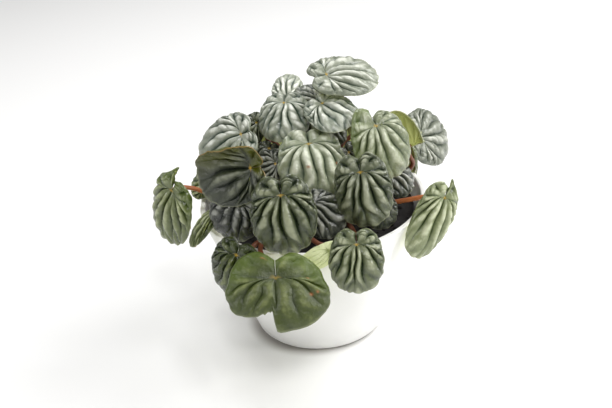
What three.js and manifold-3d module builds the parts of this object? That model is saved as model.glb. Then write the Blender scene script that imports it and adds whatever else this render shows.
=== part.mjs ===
// Ripple peperomia in a white pot, in millimetres, +Z up, resting on z = 0.
import * as THREE from "three";
import { mergeVertices } from "three/addons/utils/BufferGeometryUtils.js";
import Module from "manifold-3d";

const wasm = await Module();
wasm.setup();

// Pot
const rimRadius = 69;
const potHeight = 87;
const footRadius = 38;
const lowerRadius = 41.5;
const footRise = 3;
const wall = 3.5;
const floorThickness = 5;
const rimRounding = 1.4;
const roundSides = 48;
const soilSides = 40;

// Soil and the crown standing in it
const gap = 0.3;
const soilLevel = 78;
const soilMound = 1.6;
const soilBump = 0.9;
const crownHole = 14.3;
const crownFloor = 74;
const crownRadius = 13.9;
const crownTop = 88;

// Leaves
const bladeThickness = 0.9;
const rippleHeight = 2;
const rippleLeaf = 42;
const funnelDepth = 0.05;
const funnelSpread = 0.08;
const veinCurve = 0.45;
const usualBack = 0.24;
const rings = [0.25, 0.5, 0.76, 1];
const fewRings = [0.3, 0.7, 1];

// Leaf stalks
const stalkRadius = 1.3;
const stalkSides = 5;
const stalkSteps = 5;
const stalkStart = 8;
const stalkLevel = 82;
const approach = 6.5;

// A lobe drawn out past the notch
const earFrom = 4.8;
const earFull = 8.6;

// Half of a blade's outline, from the tip round to the notch where the stalk
// joins: how far out from the midrib, and how far along it, at each station.
const halfWidth = [0, 0.49, 0.85, 1, 0.98, 0.9, 0.79, 0.58, 0.28, 0.02];
const along = [0.76, 0.72, 0.565, 0.363, 0.175, 0.028, -0.11, -0.205, -0.25, -0.18];
const lastStation = 9;

// Where the grooves of one half meet the edge, in stations, with the midrib
// first and the notch last. Ridges lie halfway between.
const veins = [0, 0.9, 2, 3.4, 5.1, 7, 9];
const fewVeins = [0, 2, 4.4, 7, 9];

// Each leaf: where its stalk joins (x, y, z), which way its upper face looks
// (turn from the front, rise above level, roll of its tip), length and width,
// how far it bends down towards the tip, the left side and the right side, or
// up where that is negative. Some also have the share of their length behind
// the stalk (back), a lobe drawn out on one side (ear), a half swung back on
// one side (slant) or a torn tip (tear).
const leaves = {
  leaf_01: { at: [14, 18, 160], face: [0, 70, 103], size: [44, 40], bend: [30, 25, 30] },
  leaf_02: { at: [-11, 38, 139], face: [-10, 58, -175], size: [27, 23], bend: [20, 35, 35] },
  leaf_03: { at: [9, 19, 143], face: [0, 60, -110], size: [26, 30], bend: [20, 35, 35] },
  leaf_04: { at: [-13, 12, 146], face: [-20, 58, 5], size: [34, 37], bend: [42, 40, 40] },
  leaf_05: { at: [10, 7, 146], face: [0, 72, 44], size: [32, 34], bend: [22, 15, 30] },
  leaf_06: { at: [0, -12, 129], face: [0, 53, 5], size: [46, 46], bend: [45, 40, 40] },
  leaf_07: { at: [40, -13, 137], face: [8, 42, 15], size: [43, 40], bend: [50, 40, 45], back: 0.19,
    ear: [-1, 0.9, 0] },
  leaf_08: { at: [62, 12, 111], face: [165, 5, 157], size: [28, 24], bend: [10, 30, 30], back: 0.04 },
  leaf_09: { at: [73, 30, 107], face: [45, 32, 78], size: [43, 42], bend: [30, 30, 30] },
  leaf_10: { at: [-40, -2, 134], face: [-25, 50, -55], size: [42, 43], bend: [35, 30, 30], back: 0.2 },
  leaf_11: { at: [-34, -46, 132], face: [-15, 25, -78], size: [43, 40], bend: [30, -95, 20], back: 0.18,
    ear: [-1, 0, 0.6] },
  leaf_12: { at: [-18, -62, 122], face: [-5, 30, 4], size: [47, 41], bend: [40, 35, 35] },
  leaf_13: { at: [27, -42, 122], face: [-8, 30, 8], size: [45, 38], bend: [40, 40, 40] },
  leaf_14: { at: [21, -78, 97], face: [0, 35, -3], size: [38, 34], bend: [40, 35, 35] },
  leaf_15: { at: [-24, -87, 86], face: [-5, 45, 2], size: [44, 61], bend: [28, 30, 30], back: 0.31,
    slant: [-1, 0.13], tear: [-0.3, 0.37, 0.25, 1.5] },
  leaf_16: { at: [-86, -8, 102], face: [-38, 8, -24], size: [56, 41], bend: [30, 62, 15], back: 0.18,
    ear: [-1, 0.75, 0.95] },
  leaf_17: { at: [75, -46, 103], face: [20, 15, -31], size: [49, 31], bend: [30, 55, 60], back: 0.17,
    ear: [1, 0.4, 0.95] },
  leaf_18: { at: [-46, -66, 89], face: [-30, 25, -10], size: [36, 37], bend: [35, 30, 30] },
  leaf_19: { at: [-43, -46, 112], face: [-20, 30, -20], size: [33, 36], bend: [35, 30, 30] },
  leaf_20: { at: [-21, -8, 115], face: [-20, 35, -70], size: [25, 24], bend: [40, 35, 35] },
  leaf_21: { at: [0, -40, 103], face: [10, 45, 45], size: [32, 30], bend: [40, 35, 35] },
  leaf_22: { at: [47, -8, 104], face: [20, 45, 50], size: [27, 26], bend: [40, 35, 35] },
  leaf_23: { at: [37, -38, 101], face: [8, 38, 10], size: [24, 24], bend: [40, 35, 35] },
  leaf_24: { at: [-66, 8, 97], face: [-35, 40, -80], size: [20, 20], bend: [40, 30, 30] },
  leaf_25: { at: [-31, 18, 131], face: [-30, 40, -40], size: [24, 22], bend: [40, 35, 35] },
  leaf_26: { at: [-58, -31, 99], face: [-60, 65, 4], size: [33, 15], bend: [30, 35, 35] },
  leaf_27: { at: [24, 2, 114], face: [10, 45, 30], size: [26, 25], bend: [40, 35, 35] },
  leaf_28: { at: [-32, 46, 120], face: [-150, 45, 0], size: [36, 34], bend: [40, 35, 35] },
  leaf_29: { at: [4, 56, 130], face: [180, 48, 10], size: [40, 38], bend: [40, 35, 35] },
  leaf_30: { at: [38, 42, 116], face: [150, 45, -10], size: [36, 35], bend: [40, 35, 35] },
  leaf_31: { at: [62, 46, 94], face: [125, 25, 0], size: [34, 32], bend: [40, 35, 35] },
  leaf_32: { at: [-58, 34, 112], face: [-120, 40, 0], size: [34, 34], bend: [40, 35, 35] },
  leaf_33: { at: [-46, 66, 96], face: [-150, 20, 5], size: [36, 34], bend: [40, 35, 35] },
  leaf_34: { at: [-19, 80, 102], face: [-170, 22, -5], size: [40, 37], bend: [40, 35, 35] },
  leaf_35: { at: [20, 79, 99], face: [170, 22, 5], size: [40, 36], bend: [40, 35, 35] },
  leaf_36: { at: [53, 68, 84], face: [140, 15, 0], size: [33, 31], bend: [40, 35, 35] },
  leaf_37: { at: [64, 16, 105], face: [120, 10, 0], size: [20, 16], bend: [20, 40, 40] },
  leaf_38: { at: [-68, 44, 80], face: [-118, 12, -5], size: [32, 30], bend: [40, 35, 35] },
  leaf_39: { at: [0, 36, 108], face: [175, 50, 0], size: [26, 25], bend: [40, 35, 35] },
  leaf_40: { at: [-34, 32, 108], face: [-120, 45, 10], size: [26, 24], bend: [40, 35, 35] },
  leaf_41: { at: [32, 26, 104], face: [120, 50, -10], size: [24, 23], bend: [40, 35, 35] },
  leaf_42: { at: [-49, 13, 113], face: [-60, 55, 0], size: [24, 24], bend: [40, 35, 35] },
  leaf_43: { at: [-24, 6, 119], face: [-15, 50, -20], size: [20, 20], bend: [40, 35, 35] },
  leaf_44: { at: [2, 17, 129], face: [0, 55, 0], size: [17, 17], bend: [40, 35, 35] },
  leaf_45: { at: [15, 13, 128], face: [10, 50, 10], size: [19, 19], bend: [40, 35, 35] },
  leaf_46: { at: [6, -74, 91], face: [2, 10, -62], size: [27, 15], bend: [20, 60, 25] },
};

// Leaves with fewer grooves: small, behind the others or deep among them.
const fewest = ["leaf_02", "leaf_03", "leaf_20", "leaf_22", "leaf_23", "leaf_24", "leaf_25",
  "leaf_26", "leaf_27"];
const firstHidden = 28;
for (const [name, leaf] of Object.entries(leaves)) {
  leaf.few = fewest.includes(name) || Number(name.slice(5)) >= firstHidden;
}

// Points a stalk passes through on its way from the crown to its leaf.
const stalkWay = {
  leaf_01: [[22, 22, 118], [20, 21, 147]],
  leaf_02: [[-6, 24, 110]],
  leaf_03: [[4, 14, 112]],
  leaf_04: [[-6, 8, 113]],
  leaf_05: [[6, 4, 114]],
  leaf_06: [[0, -6, 104]],
  leaf_07: [[36, -12, 98], [42, -9, 121]],
  leaf_08: [[38, 6, 88], [62, 6, 99]],
  leaf_09: [[36, 14, 87], [60, 25, 97]],
  leaf_10: [[-28, 12, 100], [-40, 6, 122]],
  leaf_11: [[-20, -26, 98]],
  leaf_12: [[-11, -38, 95]],
  leaf_13: [[16, -26, 97]],
  leaf_14: [[18, -32, 85], [22, -56, 89], [22, -68, 92]],
  leaf_15: [[-14, -28, 85], [-31, -58, 90], [-29, -76, 89]],
  leaf_16: [[-50, -5, 92]],
  leaf_17: [[42, -22, 90]],
  leaf_18: [[-16, -24, 85], [-34, -57, 90]],
  leaf_19: [[-24, -18, 90], [-38, -34, 103]],
  leaf_20: [[-14, -5, 98]],
  leaf_21: [[4, -24, 92]],
  leaf_22: [[30, -4, 92]],
  leaf_23: [[24, -24, 92]],
  leaf_24: [[-44, 8, 92]],
  leaf_25: [[-20, 12, 104]],
  leaf_26: [[-30, -12, 88], [-57, -28, 92]],
  leaf_27: [[18, 2, 98]],
  leaf_28: [[-12, 26, 98], [-25, 42, 110]],
  leaf_29: [[16, 30, 95], [12, 46, 112]],
  leaf_30: [[15, 34, 96], [32, 42, 108]],
  leaf_31: [[30, 24, 85], [54, 36, 90]],
  leaf_32: [[-22, 6, 90], [-44, 16, 100]],
  leaf_33: [[-28, 40, 92]],
  leaf_34: [[-11, 46, 92]],
  leaf_35: [[12, 44, 92]],
  leaf_36: [[28, 34, 85], [44, 52, 91]],
  leaf_37: [[38, 10, 90], [60, 16, 99]],
  leaf_38: [[-26, 20, 84], [-57, 38, 92]],
  leaf_39: [[0, 22, 96]],
  leaf_40: [[-20, 18, 94]],
  leaf_41: [[20, 16, 94]],
  leaf_42: [[-28, 8, 94]],
  leaf_43: [[-18, 10, 102]],
  leaf_44: [[1, 16, 108]],
  leaf_45: [[18, 10, 104]],
  leaf_46: [[-7, -34, 85], [0, -58, 88]],
};

const radians = THREE.MathUtils.degToRad;
const vector = (x, y, z) => new THREE.Vector3(x, y, z);

function material(color, roughness = 0.6) {
  return new THREE.MeshStandardMaterial({ color, roughness, metalness: 0 });
}

function geometryOf(points, faces) {
  const geometry = new THREE.BufferGeometry();
  geometry.setAttribute("position", new THREE.Float32BufferAttribute(points.flat(), 3));
  geometry.setIndex(faces.flat());
  geometry.computeVertexNormals();
  return geometry;
}

function addMesh(name, geometry, color, roughness) {
  const mesh = new THREE.Mesh(geometry, material(color, roughness));
  mesh.name = name;
  plant.add(mesh);
}

// One closed body: shared corners merged and flat triangles dropped.
function closed(source) {
  const plain = source.clone();
  plain.deleteAttribute("normal");
  plain.deleteAttribute("uv");
  const geometry = mergeVertices(plain, 1e-3);
  const index = geometry.getIndex().array;
  const kept = [];
  for (let i = 0; i < index.length; i += 3) {
    const [a, b, c] = [index[i], index[i + 1], index[i + 2]];
    if (a !== b && b !== c && c !== a) kept.push(a, b, c);
  }
  geometry.setIndex(kept);
  geometry.computeVertexNormals();
  return geometry;
}

// A body turned round +Z from a profile of [radius, z] that starts and ends on
// the axis.
function turned(profile, sides) {
  const points = profile.map(([radius, z]) => new THREE.Vector2(radius, z));
  const geometry = new THREE.LatheGeometry(points, sides);
  geometry.rotateX(Math.PI / 2);
  return closed(geometry);
}

// A smooth curve through the mirrored outline list.
function outlineAt(list, station) {
  const mirrored = list === along ? 1 : -1;
  const value = (i) => {
    if (i < 0) return mirrored * list[-i];
    if (i > lastStation) return 2 * list[lastStation] - list[lastStation - 1];
    return list[i];
  };
  const i = Math.min(Math.floor(station), lastStation - 1);
  const f = station - i;
  const [a, b, c, d] = [value(i - 1), value(i), value(i + 1), value(i + 2)];
  return b + 0.5 * f * (c - a + f * (2 * a - 5 * b + 4 * c - d + f * (3 * (b - c) + d - a)));
}

// How many grooves lie between the midrib and a station: whole in a groove.
function phaseAt(list, station) {
  const next = Math.max(1, list.findIndex((vein) => station <= vein + 1e-9));
  return next - 1 + (station - list[next - 1]) / (list[next] - list[next - 1]);
}

// A place on the plain bent blade, before its ridges, from flat x and y.
function bent(leaf, x, y) {
  const [length, width] = leaf.size;
  const [bendTip, bendLeft, bendRight] = leaf.bend.map(radians);
  const bendSide = x < 0 ? bendLeft : bendRight;
  const turn = (x / (width / 2)) * bendSide;
  const sideRadius = width / 2 / bendSide;
  const down = -sideRadius * (1 - Math.cos(turn));
  const tipRadius = ((1 - (leaf.back ?? usualBack)) * length) / bendTip;
  const lean = y / tipRadius;
  const point = vector(
    sideRadius * Math.sin(turn),
    (tipRadius + down) * Math.sin(lean),
    (tipRadius + down) * Math.cos(lean) - tipRadius,
  );
  const normal = vector(
    Math.sin(turn),
    Math.cos(turn) * Math.sin(lean),
    Math.cos(turn) * Math.cos(lean),
  );
  return { point, normal };
}

// The upper surface of a blade in its own frame (x across, y to the tip, z up)
// at an outline station from -9 to 9 and a share of the way out from the stalk.
function bladePoint(leaf, station, share) {
  const [length, width] = leaf.size;
  const back = leaf.back ?? usualBack;
  const side = Math.sign(station);
  let across = side * outlineAt(halfWidth, Math.abs(station));
  let ahead = outlineAt(along, Math.abs(station));
  if (leaf.ear && side === leaf.ear[0]) {
    const reach = THREE.MathUtils.smoothstep(Math.abs(station), earFrom, earFull);
    ahead *= 1 + leaf.ear[1] * reach;
    across *= 1 - leaf.ear[2] * reach;
  }
  if (leaf.slant && side === leaf.slant[0]) ahead -= leaf.slant[1] * Math.abs(across);
  if (leaf.tear) {
    const [place, depth, reach, leftReach] = leaf.tear;
    const away = station < place ? (place - station) / leftReach : (station - place) / reach;
    const keep = 1 - depth * Math.max(0, 1 - away);
    across *= keep;
    ahead *= keep;
  }
  ahead *= ahead < 0 ? back / usualBack : (1 - back) / (1 - usualBack);
  const x = across * share ** (1 - veinCurve) * (width / 2);
  const pull = 1 + veinCurve * Math.max(-1, Math.min(1, ahead / 0.4));
  const y = ahead * share ** pull * length;
  const { point, normal } = bent(leaf, x, y);
  const near = (x / (width / 2)) ** 2 + (y / (length / 2)) ** 2;
  const sink = funnelDepth * length * Math.exp(-near / funnelSpread);
  const phase = phaseAt(leaf.few ? fewVeins : veins, Math.abs(station));
  const ridge = (-Math.cos(2 * Math.PI * phase) * rippleHeight * length) / rippleLeaf / 2;
  const fade = Math.min(1, share * 2.2) * (1 - 0.5 * share);
  return { point: point.addScaledVector(normal, ridge * fade - sink), normal };
}

function leafFrame(leaf) {
  const [turn, rise, roll] = leaf.face.map(radians);
  const up = vector(Math.sin(turn) * Math.cos(rise), -Math.cos(turn) * Math.cos(rise), Math.sin(rise));
  const fall = vector(Math.sin(turn) * Math.sin(rise), -Math.cos(turn) * Math.sin(rise), -Math.cos(rise));
  const level = up.clone().cross(fall);
  const tip = fall.clone().multiplyScalar(Math.cos(roll)).addScaledVector(level, Math.sin(roll));
  const side = up.clone().cross(tip);
  return { up, tip, side };
}

function place(leaf, point) {
  const { up, tip, side } = leafFrame(leaf);
  return vector(...leaf.at)
    .addScaledVector(side, point.x)
    .addScaledVector(tip, point.y)
    .addScaledVector(up, point.z);
}

// A closed sheet over a grid of columns that all start at one shared point.
function fanSheet(columns, placed) {
  const depth = columns[0].length;
  const points = [];
  for (const sign of [0, 1]) {
    for (const column of columns) {
      for (const cell of column) {
        points.push(placed(cell.point.clone().addScaledVector(cell.normal, -sign * bladeThickness)));
      }
    }
  }
  const layer = columns.length * (depth - 1);
  const at = (sign, column, ring) => {
    if (ring === 0) return sign * (layer + 1);
    return sign * (layer + 1) + 1 + column * (depth - 1) + ring - 1;
  };
  const kept = [];
  for (const sign of [0, 1]) {
    kept.push(points[sign * columns.length * depth]);
    for (let column = 0; column < columns.length; column++) {
      for (let ring = 1; ring < depth; ring++) {
        kept.push(points[sign * columns.length * depth + column * depth + ring]);
      }
    }
  }
  const faces = [];
  const face = (sign, a, b, c) => faces.push(sign ? [a, c, b] : [a, b, c]);
  for (const sign of [0, 1]) {
    for (let column = 0; column + 1 < columns.length; column++) {
      face(sign, at(sign, column, 0), at(sign, column, 1), at(sign, column + 1, 1));
      for (let ring = 1; ring + 1 < depth; ring++) {
        const a = at(sign, column, ring);
        const b = at(sign, column, ring + 1);
        const c = at(sign, column + 1, ring + 1);
        const d = at(sign, column + 1, ring);
        face(sign, a, b, c);
        face(sign, a, c, d);
      }
    }
  }
  const edge = [];
  for (let ring = 0; ring < depth; ring++) edge.push([0, ring]);
  for (let column = 1; column < columns.length; column++) edge.push([column, depth - 1]);
  for (let ring = depth - 2; ring > 0; ring--) edge.push([columns.length - 1, ring]);
  for (let i = 0; i < edge.length; i++) {
    const [column, ring] = edge[i];
    const [nextColumn, nextRing] = edge[(i + 1) % edge.length];
    const a = at(0, column, ring);
    const b = at(0, nextColumn, nextRing);
    const c = at(1, nextColumn, nextRing);
    const d = at(1, column, ring);
    faces.push([a, c, b]);
    faces.push([a, d, c]);
  }
  return geometryOf(kept.map((p) => p.toArray()), faces);
}

function stationsOf(leaf) {
  const list = leaf.few ? fewVeins : veins;
  const half = [];
  for (let i = 1; i < list.length; i++) half.push((list[i - 1] + list[i]) / 2, list[i]);
  const stations = [...half.map((station) => -station), 0, ...half];
  if (leaf.tear) {
    const [middle, , reach] = leaf.tear;
    stations.push(middle, middle + reach);
  }
  return stations.sort((a, b) => a - b);
}

function bladeGeometry(leaf) {
  const shares = [0.001, ...(leaf.few ? fewRings : rings)];
  const columns = stationsOf(leaf).map((station) =>
    shares.map((share) => bladePoint(leaf, station, share)),
  );
  return fanSheet(columns, (point) => place(leaf, point));
}

function stalkPoints(name) {
  const leaf = leaves[name];
  const { up } = leafFrame(leaf);
  const joint = bladePoint(leaf, 0, 0.001).point;
  const end = place(leaf, joint).addScaledVector(up, -bladeThickness - gap - 0.1);
  const way = stalkWay[name].map((p) => vector(...p));
  const angle = Math.atan2(way[0].y, way[0].x);
  const start = vector(stalkStart * Math.cos(angle), stalkStart * Math.sin(angle), stalkLevel);
  return [start, ...way, end.clone().addScaledVector(up, -approach), end];
}

function tubeGeometry(points) {
  const curve = new THREE.CatmullRomCurve3(points, false, "centripetal");
  const corners = [];
  for (let k = 0; k < stalkSides; k++) {
    const angle = (2 * Math.PI * k) / stalkSides;
    corners.push(new THREE.Vector2(stalkRadius * Math.cos(angle), stalkRadius * Math.sin(angle)));
  }
  const options = { steps: stalkSteps, bevelEnabled: false, extrudePath: curve };
  return closed(new THREE.ExtrudeGeometry(new THREE.Shape(corners), options));
}

function solidOf(geometry) {
  const positions = new Float32Array(geometry.getAttribute("position").array);
  const triangles = new Uint32Array(geometry.getIndex().array);
  const mesh = new wasm.Mesh({ numProp: 3, vertProperties: positions, triVerts: triangles });
  return new wasm.Manifold(mesh);
}

function geometryFrom(solid) {
  const mesh = solid.getMesh();
  const geometry = new THREE.BufferGeometry();
  geometry.setAttribute("position", new THREE.BufferAttribute(new Float32Array(mesh.vertProperties), 3));
  geometry.setIndex(new THREE.BufferAttribute(new Uint32Array(mesh.triVerts), 1));
  geometry.computeVertexNormals();
  return geometry;
}

const plant = new THREE.Group();
plant.name = "ripple_peperomia";

// Pot: a tapered round wall with a rounded rim and a flat foot.
const innerFoot = footRadius;
const potProfile = [
  [0, 0],
  [footRadius, 0],
  [lowerRadius, footRise],
  [rimRadius, potHeight - rimRounding],
  [rimRadius - 0.8, potHeight],
  [rimRadius - wall + 0.8, potHeight],
  [rimRadius - wall, potHeight - rimRounding],
  [innerFoot, floorThickness],
  [0, floorThickness],
];
addMesh("pot", turned(potProfile, roundSides), 0xf4f4f1, 0.3);

// Soil: fills the pot to just under the rim, mounded and lumpy, with a plain
// round hole where the crown stands.
const innerSlope = (rimRadius - wall - innerFoot) / (potHeight - rimRounding - floorThickness);
const soilRadius = (z) => innerFoot + innerSlope * (z - floorThickness) - gap * 1.1;
const soilBottom = floorThickness + gap;
const soilProfile = [
  [0, soilBottom],
  [soilRadius(soilBottom) - 0.2, soilBottom],
  [soilRadius(soilLevel), soilLevel],
  [50, soilLevel + 0.3],
  [32, soilLevel + 1],
  [crownHole, soilLevel + soilMound],
  [crownHole, crownFloor],
  [0, crownFloor],
];
const soil = turned(soilProfile, soilSides);
const soilPoints = soil.getAttribute("position");
for (let i = 0; i < soilPoints.count; i++) {
  const radius = Math.hypot(soilPoints.getX(i), soilPoints.getY(i));
  const angle = Math.atan2(soilPoints.getY(i), soilPoints.getX(i));
  const z = soilPoints.getZ(i);
  if (z > soilLevel && radius > crownHole + 1) {
    soilPoints.setZ(i, z + soilBump * Math.sin(5 * angle + radius) * Math.cos(7 * angle));
  }
}
soil.computeVertexNormals();
addMesh("soil", soil, 0x1b1a1b, 0.95);

// Crown and leaf stalks: one fused body.
const crownProfile = [
  [0, crownFloor + gap],
  [crownRadius, crownFloor + gap],
  [crownRadius, soilLevel + 4],
  [crownRadius - 3, crownTop - 3],
  [crownRadius - 7, crownTop],
  [0, crownTop],
];
let stalks = solidOf(turned(crownProfile, 16));
for (const name of Object.keys(leaves)) {
  stalks = stalks.add(solidOf(tubeGeometry(stalkPoints(name))));
}
addMesh("leaf_stalks", geometryFrom(stalks), 0xb4502c, 0.5);

// Leaf blades
for (const [name, leaf] of Object.entries(leaves)) {
  addMesh(name, bladeGeometry(leaf), 0x6d8467, 0.5);
}

export default plant;
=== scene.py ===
import math
import random

import bpy
import numpy as np
from mathutils import Matrix, Vector


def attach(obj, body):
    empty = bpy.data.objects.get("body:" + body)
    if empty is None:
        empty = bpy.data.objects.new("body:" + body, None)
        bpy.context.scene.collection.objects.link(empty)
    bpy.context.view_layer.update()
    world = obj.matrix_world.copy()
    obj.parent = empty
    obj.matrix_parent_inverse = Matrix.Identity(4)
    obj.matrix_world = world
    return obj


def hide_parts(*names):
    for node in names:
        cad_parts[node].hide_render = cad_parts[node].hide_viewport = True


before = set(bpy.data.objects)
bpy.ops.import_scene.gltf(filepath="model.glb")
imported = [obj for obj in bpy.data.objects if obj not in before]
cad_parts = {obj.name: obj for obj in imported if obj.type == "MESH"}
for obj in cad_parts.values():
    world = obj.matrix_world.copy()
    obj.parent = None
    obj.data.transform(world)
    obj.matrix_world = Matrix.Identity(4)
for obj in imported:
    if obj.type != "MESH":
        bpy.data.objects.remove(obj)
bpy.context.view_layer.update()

mm = 0.001
print("frame loaded:", len(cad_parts), "nodes")


def deselectAll():
    if bpy.context.object and bpy.context.object.mode != "OBJECT":
        bpy.ops.object.mode_set(mode="OBJECT")
    bpy.ops.object.select_all(action="DESELECT")


def takeNew(name):
    piece = bpy.context.object
    piece.name = name
    piece.data.name = name
    return piece


def applyModifier(piece, kind, **settings):
    modifier = piece.modifiers.new(kind.lower(), kind)
    for key, value in settings.items():
        setattr(modifier, key, value)
    bpy.context.view_layer.objects.active = piece
    bpy.ops.object.modifier_apply(modifier=modifier.name)


def placeInMesh(piece):
    # the object goes to the origin and keeps its place in its mesh
    piece.data.transform(piece.matrix_world)
    piece.matrix_world = Matrix.Identity(4)


def smoothShading(piece, angle):
    deselectAll()
    piece.select_set(True)
    bpy.context.view_layer.objects.active = piece
    bpy.ops.object.shade_smooth_by_angle(angle=math.radians(angle))


def joinPieces(pieces, name):
    deselectAll()
    for piece in pieces:
        piece.select_set(True)
    bpy.context.view_layer.objects.active = pieces[0]
    bpy.ops.object.join()
    return takeNew(name)


def smoothStep(low, high, value):
    t = np.clip((value - low) / (high - low), 0, 1)
    return t * t * (3 - 2 * t)


def getPoints(mesh):
    # in the mesh's own units
    points = np.empty(len(mesh.vertices) * 3)
    mesh.vertices.foreach_get("co", points)
    return points.reshape(-1, 3)


def setPoints(mesh, points):
    # from mm
    mesh.vertices.foreach_set("co", (points * mm).ravel())


def addLayer(mesh, name, values):
    # one value for each vertex, which the materials read by name
    layer = mesh.attributes.new(name, "FLOAT", "POINT")
    layer.data.foreach_set("value", values.astype(np.float32))


def weld(distance):
    # the active piece, in edit mode
    bpy.ops.mesh.select_all(action="SELECT")
    bpy.ops.mesh.remove_doubles(threshold=distance)


view = {
    "eye": (-4.4, -540, 375),  # mm
    "pitch": 28.5,  # degrees down
    "roll": -4.6,  # degrees
    "focal": 1000,  # in the units of frameWidth
    "frameWidth": 612,
    "sensor": 36,  # mm
    "nearest": 0.02,  # m
}


def addCamera():
    pitch, roll = math.radians(view["pitch"]), math.radians(view["roll"])
    ahead = Vector((0, math.cos(pitch), -math.sin(pitch)))
    level = Vector((1, 0, 0))
    upright = Vector((0, math.sin(pitch), math.cos(pitch)))
    right = level * math.cos(roll) + upright * math.sin(roll)
    up = upright * math.cos(roll) - level * math.sin(roll)
    turn = Matrix((right, up, -ahead)).transposed().to_4x4()
    bpy.ops.object.camera_add()
    camera = bpy.context.object
    camera.matrix_world = Matrix.Translation(Vector(view["eye"]) * mm) @ turn
    camera.data.sensor_width = view["sensor"]
    camera.data.lens = view["focal"] * view["sensor"] / view["frameWidth"]
    camera.data.clip_start = view["nearest"]
    bpy.context.scene.camera = camera


lighting = {
    "world": (0.99, 0.985, 0.97),
    "worldStrength": 0.3,
    # name: place (m), aimed at (m), size (m), watts, colour
    "areas": {
        "key": ((0.8, 0.3, 0.75), (0, 0, 0.08), 0.75, 9.7, (1.0, 0.995, 0.985)),
        "front": ((0.15, -0.7, 0.9), (0, 0, 0.1), 0.28, 3.7, (1.0, 0.995, 0.98)),
        "back": ((-0.25, 0.5, 1.1), (0, 0, 0.12), 0.35, 5.5, (1.0, 1.0, 1.0)),
        "right": ((0.9, -0.35, 0.4), (0, 0, 0.1), 0.2, 3.2, (1.0, 0.995, 0.98)),
        "left": ((-0.85, -0.4, 0.5), (0, 0, 0.1), 0.2, 2.2, (1.0, 0.995, 0.98)),
    },
}


def addLights():
    world = bpy.context.scene.world or bpy.data.worlds.new("softRoom")
    bpy.context.scene.world = world
    world.use_nodes = True
    background = world.node_tree.nodes["Background"]
    background.inputs["Color"].default_value = (*lighting["world"], 1)
    background.inputs["Strength"].default_value = lighting["worldStrength"]
    for name, (place, target, size, watts, colour) in lighting["areas"].items():
        bpy.ops.object.light_add(type="AREA", location=place)
        lamp = bpy.context.object
        lamp.name = name + "Light"
        lamp.data.size = size
        lamp.data.energy = watts
        lamp.data.color = colour
        aim = Vector(target) - Vector(place)
        lamp.rotation_euler = aim.to_track_quat("-Z", "Y").to_euler()


def newMaterial(name):
    material = bpy.data.materials.new(name)
    material.use_nodes = True
    tree = material.node_tree
    shader = tree.nodes["Principled BSDF"]
    return material, tree, shader


def link(tree, source, target):
    tree.links.new(source, target)


def mathNode(tree, operation, first, second, third=None):
    node = tree.nodes.new("ShaderNodeMath")
    node.operation = operation
    for socket, value in zip(node.inputs, (first, second, third)):
        if value is None:
            continue
        if isinstance(value, (int, float)):
            socket.default_value = value
        else:
            link(tree, value, socket)
    return node.outputs[0]


def rampBetween(tree, source, low, high):
    # 0 below low, 1 above high, smooth between
    node = tree.nodes.new("ShaderNodeMapRange")
    node.interpolation_type = "SMOOTHSTEP"
    link(tree, source, node.inputs["Value"])
    node.inputs["From Min"].default_value = low
    node.inputs["From Max"].default_value = high
    return node.outputs["Result"]


def mixColour(tree, factor, first, second):
    node = tree.nodes.new("ShaderNodeMix")
    node.data_type = "RGBA"
    # the sockets for a colour mix: factor, first and second colour
    link(tree, factor, node.inputs[0])
    for socket, colour in ((node.inputs[6], first), (node.inputs[7], second)):
        if isinstance(colour, tuple):
            socket.default_value = (*colour, 1)
        else:
            link(tree, colour, socket)
    return node.outputs[2]


def attribute(tree, name):
    node = tree.nodes.new("ShaderNodeAttribute")
    node.attribute_name = name
    return node.outputs["Fac"]


def makeMottleGroup():
    # slow patches and fine grain on Object coordinates, at scales that each material gives
    group = bpy.data.node_groups.new("mottle", "ShaderNodeTree")
    for name in ("Patch", "Grain"):
        group.interface.new_socket(name + " Scale", in_out="INPUT", socket_type="NodeSocketFloat")
        group.interface.new_socket(name, in_out="OUTPUT", socket_type="NodeSocketFloat")
    enter = group.nodes.new("NodeGroupInput")
    leave = group.nodes.new("NodeGroupOutput")
    place = group.nodes.new("ShaderNodeTexCoord")
    for name, detail in (("Patch", 3), ("Grain", 2)):
        noise = group.nodes.new("ShaderNodeTexNoise")
        noise.inputs["Detail"].default_value = detail
        group.links.new(place.outputs["Object"], noise.inputs["Vector"])
        group.links.new(enter.outputs[name + " Scale"], noise.inputs["Scale"])
        group.links.new(noise.outputs["Fac"], leave.inputs[name])
    return group


def addMottle(tree, patch, grain):
    node = tree.nodes.new("ShaderNodeGroup")
    node.node_tree = mottle
    node.inputs["Patch Scale"].default_value = patch
    node.inputs["Grain Scale"].default_value = grain
    return node.outputs["Patch"], node.outputs["Grain"]


def bumpFrom(tree, shader, height, strength, distance):
    bump = tree.nodes.new("ShaderNodeBump")
    bump.inputs["Strength"].default_value = strength
    bump.inputs["Distance"].default_value = distance
    link(tree, height, bump.inputs["Height"])
    link(tree, bump.outputs["Normal"], shader.inputs["Normal"])


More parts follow.
